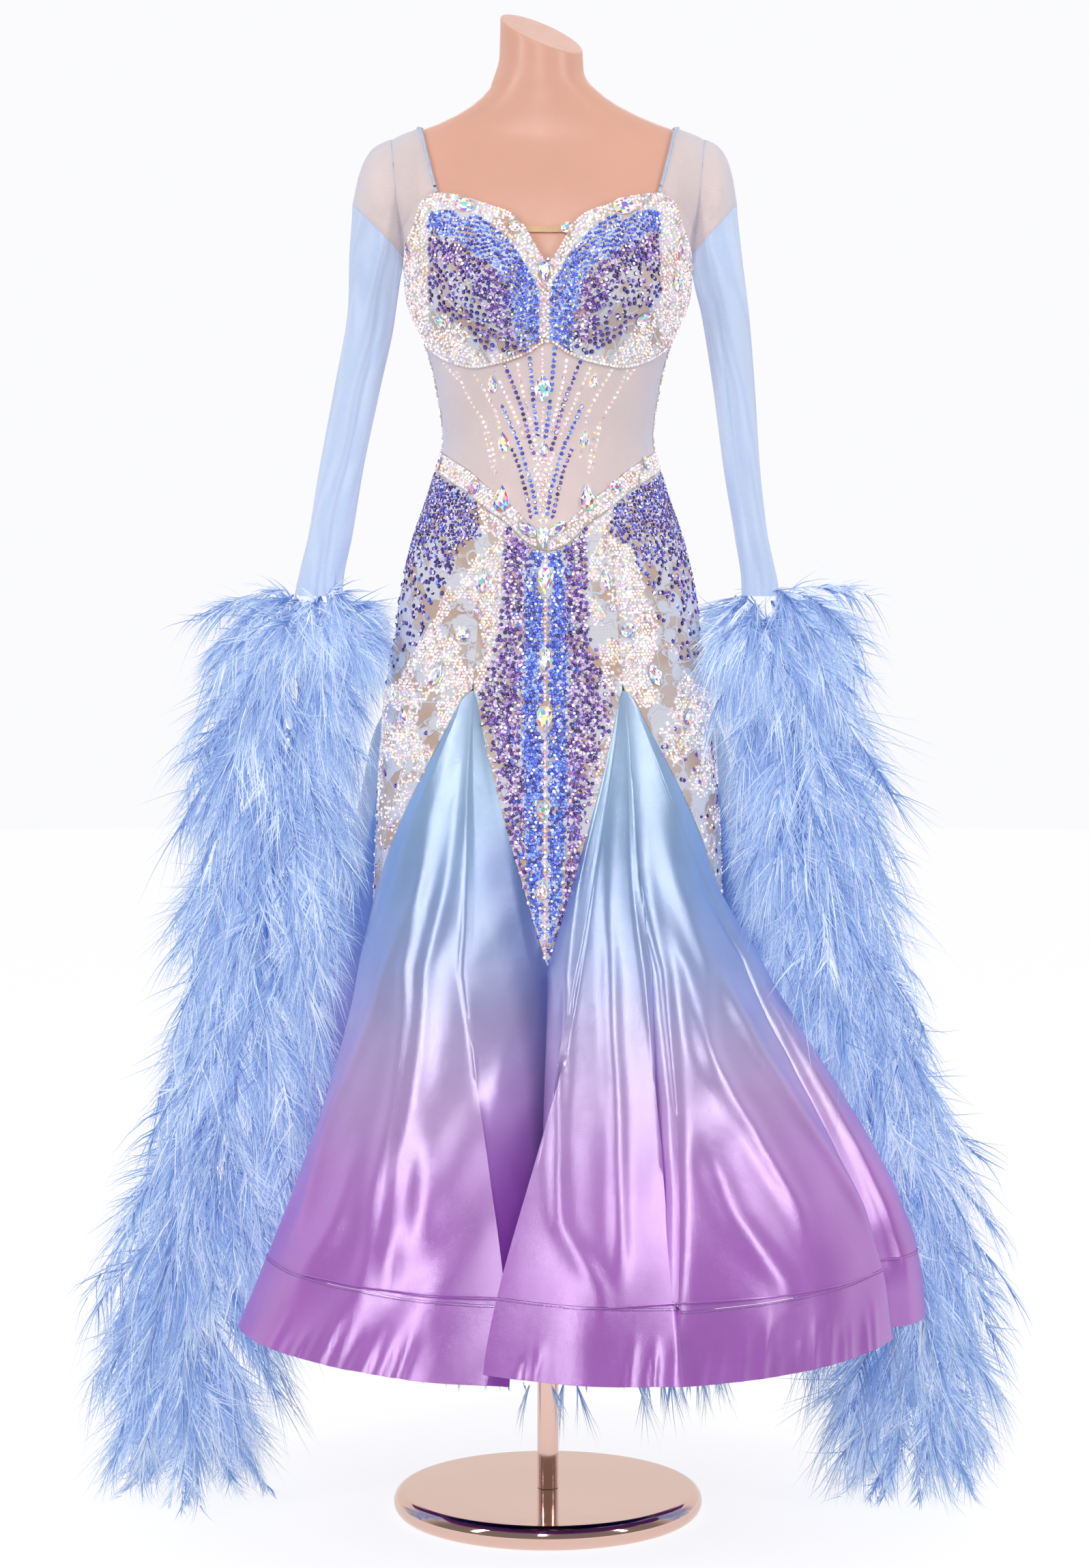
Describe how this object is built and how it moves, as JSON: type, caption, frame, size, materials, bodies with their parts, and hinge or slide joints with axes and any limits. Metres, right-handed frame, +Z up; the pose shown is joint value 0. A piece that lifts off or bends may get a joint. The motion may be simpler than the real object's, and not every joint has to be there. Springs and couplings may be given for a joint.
{
  "type": "ballroom gown on dress form",
  "caption": "Long-sleeved ballroom gown with stone-set lace bodice, flared ombre satin godets and feather boas on the sleeves, on a limbless dress form with a round stand.",
  "frame": {"origin": "middle of the stand's foot, on the floor", "axes": "+Z up along the stand's pole, -Y out of the gown's front, +X towards the viewer's right when facing the front"},
  "size_m": [1.0529, 0.8477, 1.6858],
  "materials": {
    "rose_gold": "polished rose-gold plated steel",
    "form_skin": "smooth satin-matt lacquer",
    "stone_lace": "floral lace over nude net, set with cut-glass stones",
    "sheer_mesh": "sheer matt stretch mesh",
    "blue_mesh": "light blue power mesh",
    "ombre_satin": "glossy satin shaded from light blue to orchid",
    "under_satin": "blue satin",
    "skin_elastic": "skin-tone elastic",
    "ostrich_feather": "light blue ostrich feather, stood in by solid locks"
  },
  "bodies": {
    "root": {"stand_foot": "rose_gold", "stand_pole": "rose_gold", "stand_socket": "rose_gold", "dress_form": "form_skin", "bust_cup_left": "stone_lace", "bust_cup_right": "stone_lace", "bodice_back": "stone_lace", "hip_band": "stone_lace", "lace_front": "stone_lace", "lace_left": "stone_lace", "lace_right": "stone_lace", "lace_back": "stone_lace", "midriff_front": "sheer_mesh", "yoke_front_left": "sheer_mesh", "yoke_front_right": "sheer_mesh", "yoke_back_left": "sheer_mesh", "yoke_back_right": "sheer_mesh", "sleeve_head_left": "sheer_mesh", "sleeve_head_right": "sheer_mesh", "sleeve_left": "blue_mesh", "sleeve_right": "blue_mesh", "neckline_elastic": "skin_elastic", "godet_front_left": "ombre_satin", "godet_front_right": "ombre_satin", "godet_back_left": "ombre_satin", "godet_back_right": "ombre_satin", "hem_band_front_left": "ombre_satin", "hem_band_front_right": "ombre_satin", "hem_band_back_left": "ombre_satin", "hem_band_back_right": "ombre_satin", "underskirt": "under_satin", "hem_feathers": "ostrich_feather", "feather_cuff_left": "ostrich_feather", "feather_cuff_right": "ostrich_feather", "feather_boa_left": "ostrich_feather", "feather_boa_right": "ostrich_feather"}
  },
  "joints": []
}
